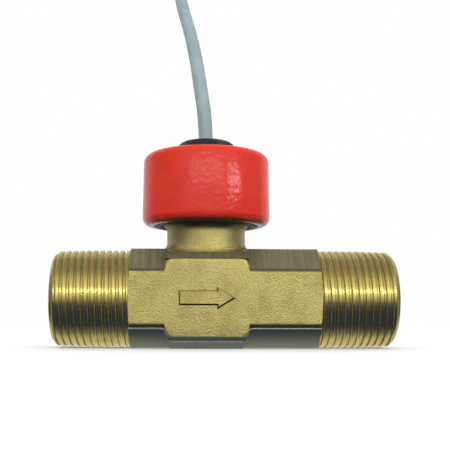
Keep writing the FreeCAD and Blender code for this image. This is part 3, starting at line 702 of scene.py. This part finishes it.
# Sensor electronics: a black carrier cup in the neck's pocket holds the board upright in two slots. The
# sensor chip sits at its bottom over the wheel, and three cores of the cable are soldered to the board's top.
CARRIER_BLACK = (0.022, 0.022, 0.024, 1)
CARRIER_SHADE = (0.034, 0.034, 0.036, 1)
BOARD_GREEN = (0.03, 0.14, 0.06, 1)
BOARD_WEAVE = (0.05, 0.19, 0.08, 1)
CORE_COLOURS = {
    "brown": ((0.15, 0.06, 0.025, 1), (0.11, 0.045, 0.02, 1)),
    "white": ((0.75, 0.75, 0.72, 1), (0.64, 0.64, 0.60, 1)),
    "green": ((0.04, 0.24, 0.07, 1), (0.03, 0.18, 0.05, 1)),
}
black_moulding = moulded("black_moulding", CARRIER_BLACK, CARRIER_SHADE, roughness=0.42, peel=0.03 * MM)
coat(black_moulding, "sensor_carrier", "hall_sensor")
coat(moulded("board_green", BOARD_GREEN, BOARD_WEAVE, roughness=0.3, peel=0.01 * MM), "circuit_board")
core_finish = {}
for name, (light, dark) in CORE_COLOURS.items():
    core_finish[name] = moulded("core_" + name, light, dark, roughness=0.4, peel=0.02 * MM)
    coat(core_finish[name], "inner_core_" + name)

# Seal: black rubber ring round the collar of the neck, squeezed by the lip of the cap. It stands a little
# below the cap's rim, with its lower corners rounded.
seal_low, seal_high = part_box("cap_seal")
SEAL_WIDTH = 2.5 * MM
SEAL_LIFT = 0.7 * MM
SEAL_INNER_ROUND = 0.5 * MM
SEAL_OUTER_ROUND = 0.7 * MM
SEAL_OUTER = seal_high.y
SEAL_INNER = SEAL_OUTER - SEAL_WIDTH
SEAL_TOP = seal_high.z
SEAL_BOTTOM = seal_low.z + SEAL_LIFT
RUBBER_BLACK = (0.012, 0.012, 0.013, 1)
RUBBER_BLOOM = (0.035, 0.035, 0.036, 1)
seal_ring = turned(
    [
        (SEAL_INNER, SEAL_BOTTOM),
        (SEAL_OUTER, SEAL_BOTTOM),
        (SEAL_OUTER, SEAL_TOP),
        (SEAL_INNER, SEAL_TOP),
    ],
    [((SEAL_INNER, SEAL_BOTTOM), SEAL_INNER_ROUND), ((SEAL_OUTER, SEAL_BOTTOM), SEAL_OUTER_ROUND)])
black_rubber = moulded("black_rubber", RUBBER_BLACK, RUBBER_BLOOM, roughness=0.45, peel=0.03 * MM)
seal = add_piece("head_seal", seal_ring, black_rubber)
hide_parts("cap_seal")

# Cap: red glossy moulding that covers the electronics. Its lip snaps under the carrier's flange, and its wall
# tapers a little to the top for the mould. The skin is slightly wavy, so that highlights break up on it, and
# the underside round the neck is painted dark: painted shade.
cap_low, cap_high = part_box("cap")
CAP_RIM_Z = cap_low.z
CAP_TOP_Z = cap_high.z
CAP_RIM_RADIUS = 22.25 * MM
CAP_TOP_RADIUS = 21.85 * MM
CAP_WALL = 2.6 * MM
CAP_CEILING_Z = CAP_TOP_Z - CAP_WALL
CAP_HOLE_RADIUS = 5.5 * MM
CAP_ROUND = 3.0 * MM
CAP_RED = (0.81, 0.045, 0.023, 1)
CAP_RED_DEEP = (0.73, 0.036, 0.018, 1)
# Painted shade on the cap's underside round the neck.
CAP_PAINTED_SHADE = (0.16, 0.035, 0.03, 1)
WAVE_SCALE = 560
RIPPLE_SCALE = 900
WAVE_RELIEF = 0.17 * MM
CAP_CLOUD_SCALE = 70
FACING_DOWN = (-0.55, -0.9)
PAINTED_SHADE_REACH = (9.0 * MM, 17.0 * MM)


def glossy_red():
    """Glossy red plastic with a wavy skin, painted dark where it faces down round the neck: painted shade."""
    material, place = new_finish("glossy_red")
    x, _, _ = place.axes()
    _, _, facing_z = place.other("Normal").axes()
    waves = place.noise(WAVE_SCALE, detail=1.0)
    ripples = place.noise(RIPPLE_SCALE, detail=2.0)
    clouds = place.noise(CAP_CLOUD_SCALE).step(*CLOUDED)
    # Painted shade: the cap is painted dark where it faces down, less towards its sides along the pipe, and
    # made rougher there.
    painted_shade_below = facing_z.step(*FACING_DOWN) * (1 - 0.75 * abs(x - SENSOR_X).step(*PAINTED_SHADE_REACH))
    place.surface({
        "Base Color": painted_shade_below.mix(clouds.mix(CAP_RED, CAP_RED_DEEP), CAP_PAINTED_SHADE),
        "Roughness": 0.12 + 0.10 * ripples + 0.2 * painted_shade_below,
        "Specular IOR Level": 0.28,
        "Normal": (waves + ripples * 0.4).bump(WAVE_RELIEF, strength=0.5),
    })
    return material


cap_shell = turned(
    [
        (SEAL_OUTER, CAP_RIM_Z),
        (CAP_RIM_RADIUS, CAP_RIM_Z),
        (CAP_TOP_RADIUS, CAP_TOP_Z),
        (CAP_HOLE_RADIUS, CAP_TOP_Z),
        (CAP_HOLE_RADIUS, CAP_CEILING_Z),
        (CAP_TOP_RADIUS - CAP_WALL, CAP_CEILING_Z),
        (CAP_RIM_RADIUS - CAP_WALL, SEAL_TOP),
        (SEAL_OUTER, SEAL_TOP),
    ],
    [((CAP_RIM_RADIUS, CAP_RIM_Z), CAP_ROUND), ((CAP_TOP_RADIUS, CAP_TOP_Z), CAP_ROUND)])
cap = add_piece("red_cap", cap_shell, glossy_red())
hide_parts("cap")

# Cable bush: black rubber button snapped into the hole in the cap's top, with a rounded head outside, a foot
# inside and a bore that grips the cable. The head is a little larger than the solid's.
bush_low, bush_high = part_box("cable_grommet")
BUSH_BORE = 2.55 * MM
BUSH_FOOT_RADIUS = 7.5 * MM
BUSH_FOOT_Z = bush_low.z
BUSH_WIDER = 0.4 * MM
BUSH_HIGHER = 0.6 * MM
BUSH_HEAD_RADIUS = bush_high.y + BUSH_WIDER
BUSH_TOP_Z = bush_high.z + BUSH_HIGHER
BUSH_ROUND = 3.2 * MM
bush_button = turned(
    [
        (BUSH_BORE, BUSH_FOOT_Z),
        (BUSH_FOOT_RADIUS, BUSH_FOOT_Z),
        (BUSH_FOOT_RADIUS, CAP_CEILING_Z),
        (CAP_HOLE_RADIUS, CAP_CEILING_Z),
        (CAP_HOLE_RADIUS, CAP_TOP_Z),
        (BUSH_HEAD_RADIUS, CAP_TOP_Z),
        (BUSH_HEAD_RADIUS, BUSH_TOP_Z),
        (BUSH_BORE, BUSH_TOP_Z),
    ],
    [((BUSH_HEAD_RADIUS, BUSH_TOP_Z), BUSH_ROUND)])
bush = add_piece("cable_bush", bush_button, black_rubber)
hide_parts("cable_grommet")

# Signal cable: three-core cable with a grey jacket of soft plastic. It rises from the head and arches over
# backwards, and the stored length lies behind the body in a neat coil of two layers. Its end is stripped.
CABLE_DIAMETER = 5.0 * MM
CABLE_RISE = [
    (52.0, 0.0, 44.0),
    (52.0, 0.0, 61.0),
    (49.97, 6.0, 77.0),
    (48.4, 18.0, 92.0),
    (46.05, 30.5, 107.0),
    (42.86, 42.0, 122.0),
    (41.3, 54.5, 135.0),
    (41.0, 70.5, 142.5),
    (42.3, 87.5, 141.5),
    (46.7, 101.0, 132.0),
    (50.5, 108.0, 116.5),
    (53.4, 109.5, 98.5),
    (54.8, 109.3, 81.0),
    (53.4, 108.3, 64.5),
    (50.3, 108.0, 48.5),
    (45.0, 108.0, 33.0),
    (39.2, 108.0, 19.5),
    (40.4, 108.0, 5.3),
    (48.2, 108.0, -6.55),
    (60.7, 108.0, -13.3),
    (75.0, 108.0, -13.3),
]
CABLE_TAIL = [
    (64.0, 38.0, -8.55),
    (53.5, 38.4, -11.45),
    (42.5, 39.6, -14.25),
    (32.0, 39.6, -14.25),
]
COIL_X = 75.0
COIL_Y = 73.0
COIL_OUTER = 35.0
COIL_INNER = 20.0
COIL_LOWER_Z = -13.3
COIL_UPPER_Z = -8.3
LAYER_TURNS = 3
CLIMB_TURNS = 0.5
POINTS_PER_TURN = 16
JACKET_GREY = (0.32, 0.42, 0.44, 1)
JACKET_SHADE = (0.27, 0.355, 0.375, 1)


def coil_point(turn):
    """The coil's centreline after that many turns: inwards below, up at the middle, outwards above."""
    if turn <= LAYER_TURNS:
        share_out, share_up = 1 - turn / LAYER_TURNS, 0
    elif turn <= LAYER_TURNS + CLIMB_TURNS:
        share_out, share_up = 0, (turn - LAYER_TURNS) / CLIMB_TURNS
    else:
        share_out, share_up = (turn - LAYER_TURNS - CLIMB_TURNS) / LAYER_TURNS, 1
    radius = COIL_INNER + (COIL_OUTER - COIL_INNER) * share_out
    height = COIL_LOWER_Z + (COIL_UPPER_Z - COIL_LOWER_Z) * share_up
    angle = math.pi / 2 - math.tau * turn
    return COIL_X + radius * math.cos(angle), COIL_Y + radius * math.sin(angle), height


coil_steps = int((2 * LAYER_TURNS + CLIMB_TURNS) * POINTS_PER_TURN)
coil_turns = [coil_point((i + 1) / POINTS_PER_TURN) for i in range(coil_steps)]
jacket = moulded("grey_jacket", JACKET_GREY, JACKET_SHADE, roughness=0.4, peel=0.05 * MM)
cable_route = CABLE_RISE + coil_turns + CABLE_TAIL
cable = laid_curve("signal_cable", cable_route, CABLE_DIAMETER, jacket, "cable_jacket")
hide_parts("cable", "cable_coil", "cable_tail")

# Far end and tie: the three cores fan out from the stripped jacket, each crimped in a tinned wire end sleeve.
# A black strap keeps the coil together.
CORE_DIAMETER = 1.2 * MM
END_CORES = {
    "brown": [(32.0, 38.3, -14.25), (26.0, 38.3, -14.25), (19.0, 37.0, -15.45), (12.0, 34.2, -15.85)],
    "white": [(32.0, 39.6, -14.25), (26.0, 39.6, -14.25), (19.0, 40.4, -15.45), (12.0, 40.8, -15.85)],
    "green": [(32.0, 40.9, -14.25), (26.0, 40.9, -14.25), (19.0, 43.6, -15.45), (12.0, 47.2, -15.85)],
}
TIN = (0.62, 0.62, 0.61, 1)
TIN_WORN = (0.74, 0.73, 0.72, 1)
coat(black_moulding, "coil_tie")
tinned_copper = bare_metal("tinned_copper", TIN, TIN_WORN, roughness=0.26, wear=0.5)
end_pieces = [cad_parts["coil_tie"]]
for name, route in END_CORES.items():
    core = laid_curve("stripped_core_" + name, route, CORE_DIAMETER, core_finish[name], "core_" + name)
    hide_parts("end_core_" + name)
    coat(tinned_copper, "end_sleeve_" + name)
    end_pieces += [core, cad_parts["end_sleeve_" + name]]

# Floor: white paper under the part, which keeps its shadow. It glows faintly for the camera alone, so that
# the paper joins the white background.
FLOOR_HALF = 1.6
FLOOR_WHITE = (0.80, 0.80, 0.80, 1)
FLOOR_GLOW = 0.1


def paper_white():
    """Matt paper with a faint glow that lights nothing else."""
    material, place = new_finish("paper_white")
    for_camera = place.node("ShaderNodeLightPath", {}, {}, "Is Camera Ray")
    paper = place.node("ShaderNodeBsdfDiffuse", {}, {"Color": FLOOR_WHITE})
    glow = place.node("ShaderNodeEmission", {}, {"Strength": for_camera * FLOOR_GLOW})
    both = place.node("ShaderNodeAddShader", {}, {0: paper, 1: glow})
    place.node("ShaderNodeOutputMaterial", {}, {"Surface": both})
    return material


ground = bmesh.new()
bmesh.ops.create_grid(ground, x_segments=1, y_segments=1, size=FLOOR_HALF,
                      matrix=Matrix.Translation((0, 0, body_low.z)))
ground_mesh = bpy.data.meshes.new("floor")
ground.to_mesh(ground_mesh)
ground.free()
ground_mesh.materials.append(paper_white())
floor = bpy.data.objects.new("floor", ground_mesh)
bpy.context.scene.collection.objects.link(floor)
floor.visible_glossy = False
floor.visible_diffuse = False

# Lamps: a wide soft key light in front of the part, above the camera, and a flat strip of window light on the
# right, which draws the highlight on the cap.
LIT_POINT = Vector((0.055, 0, 0.01))
KEY_PLACE = Vector((0.05, -0.90, 0.285))
KEY_SIZE = (1.0, 0.05)
KEY_WATTS = 0.9
WINDOW_PLACE = Vector((0.60, -0.475, 0.19))
WINDOW_SIZE = (0.26, 0.014)
WINDOW_WATTS = 0.55


def area_lamp(name, place, size, watts):
    """A rectangular lamp that points at the part."""
    lamp = bpy.data.lights.new(name, "AREA")
    lamp.shape = "RECTANGLE"
    lamp.size, lamp.size_y = size
    lamp.energy = watts
    holder = bpy.data.objects.new(name, lamp)
    holder.location = place
    holder.rotation_euler = (LIT_POINT - place).to_track_quat("-Z", "Y").to_euler()
    bpy.context.scene.collection.objects.link(holder)


area_lamp("key_light", KEY_PLACE, KEY_SIZE, KEY_WATTS)
area_lamp("window_light", WINDOW_PLACE, WINDOW_SIZE, WINDOW_WATTS)

# Room: white behind the part. In front of it the walls are bright from the part's height up, dark below it
# and dim overhead, and this is what the metal mirrors. Matt surfaces are lit from above, and the camera sees
# white. A stop's place goes from 0, straight down, to 1, straight up.
ROOM_FRONT = [
    (0.0, (0.12, 0.16, 0.32, 1)),
    (0.03, (0.028, 0.042, 0.15, 1)),
    (0.36, (0.028, 0.042, 0.15, 1)),
    (0.42, (0.065, 0.075, 0.14, 1)),
    (0.47, (0.36, 0.36, 0.36, 1)),
    (0.53, (0.62, 0.62, 0.62, 1)),
    (0.60, (0.80, 0.80, 0.80, 1)),
    (0.72, (0.78, 0.78, 0.78, 1)),
    (0.83, (0.65, 0.65, 0.60, 1)),
    (0.90, (0.40, 0.40, 0.40, 1)),
    (0.97, (0.22, 0.23, 0.29, 1)),
    (1.0, (0.26, 0.285, 0.42, 1)),
]
ROOM_BACK = [
    (0.0, (0.12, 0.16, 0.32, 1)),
    (0.015, (0.55, 0.56, 0.58, 1)),
    (0.33, (0.75, 0.75, 0.75, 1)),
    (0.50, (1, 1, 1, 1)),
    (0.60, (0.80, 0.80, 0.80, 1)),
    (0.97, (0.46, 0.47, 0.50, 1)),
    (1.0, (0.26, 0.285, 0.42, 1)),
]
ROOM_DARK = (0.0, 0.0, 0.0, 1)
ROOM_WHITE = (1, 1, 1, 1)
BEHIND = (0.25, 0.75)
BEHIND_BELOW = 0.4
BESIDE = (0.5, 0.9)
BESIDE_DIMMED = 0.65
OVERHEAD = (-0.2, 0.3)
MATT_LEAST = 0.08
MATT_OVERHEAD = 2.8


def studio_room():
    """The world, coloured by the height and the side that a ray leaves by."""
    world = bpy.data.worlds.new("studio")
    world.use_nodes = True
    world.node_tree.nodes.clear()
    ray = Wire(world.node_tree).node("ShaderNodeTexCoord", {}, {}, "Generated")
    x, y, z = ray.axes()
    height = z * 0.5 + 0.5
    front = ray.node("ShaderNodeValToRGB", {"stops": ROOM_FRONT}, {"Fac": height}, "Color")
    back = ray.node("ShaderNodeValToRGB", {"stops": ROOM_BACK}, {"Fac": height}, "Color")
    behind = (y + (0 - z).at_least(0.0) * BEHIND_BELOW).step(*BEHIND)
    beside = abs(x).step(*BESIDE) * (1 - behind)
    walls = (beside * BESIDE_DIMMED).mix(behind.mix(front, back), ROOM_DARK)
    for_camera = ray.node("ShaderNodeLightPath", {}, {}, "Is Camera Ray")
    seen = (for_camera + for_camera.other("Is Transmission Ray")).at_most(1.0)
    mirrored = (for_camera.other("Is Glossy Ray") + seen).at_most(1.0)
    matt_light = MATT_LEAST + MATT_OVERHEAD * z.step(*OVERHEAD)
    light = ray.node("ShaderNodeBackground", {}, {
        "Color": seen.mix(walls, ROOM_WHITE),
        "Strength": mirrored + (1 - mirrored) * matt_light,
    })
    ray.node("ShaderNodeOutputWorld", {}, {"Surface": light})
    return world


bpy.context.scene.world = studio_room()

# Camera: low in front of the part and nearly square to the pipe, as in the photograph. The lens is shifted,
# because the part stands off the middle of the picture.
PICTURE_PX = 450
FOCAL_PX = 794.5
SENSOR_MM = 36.0
LENS_SHIFT = 0.0495
NEAREST = 0.01
CAMERA_PLACE = (45.4 * MM, -276.3 * MM, -6.9 * MM)
TILT = math.radians(5.15)
ROLL = math.radians(0.16)
PAN = math.radians(-1.13)
lens = bpy.data.cameras.new("photo_lens")
lens.sensor_width = SENSOR_MM
lens.lens = FOCAL_PX / PICTURE_PX * SENSOR_MM
lens.shift_x = LENS_SHIFT
lens.shift_y = LENS_SHIFT
lens.clip_start = NEAREST
raised = Matrix.Rotation(math.pi / 2 + TILT, 3, "X")
aim = Matrix.Rotation(PAN, 3, "Z") @ raised @ Matrix.Rotation(ROLL, 3, "Z")
camera = bpy.data.objects.new("photo_camera", lens)
camera.location = CAMERA_PLACE
camera.rotation_euler = aim.to_euler()
bpy.context.scene.collection.objects.link(camera)
bpy.context.scene.camera = camera
bpy.context.scene.view_settings.view_transform = "Standard"
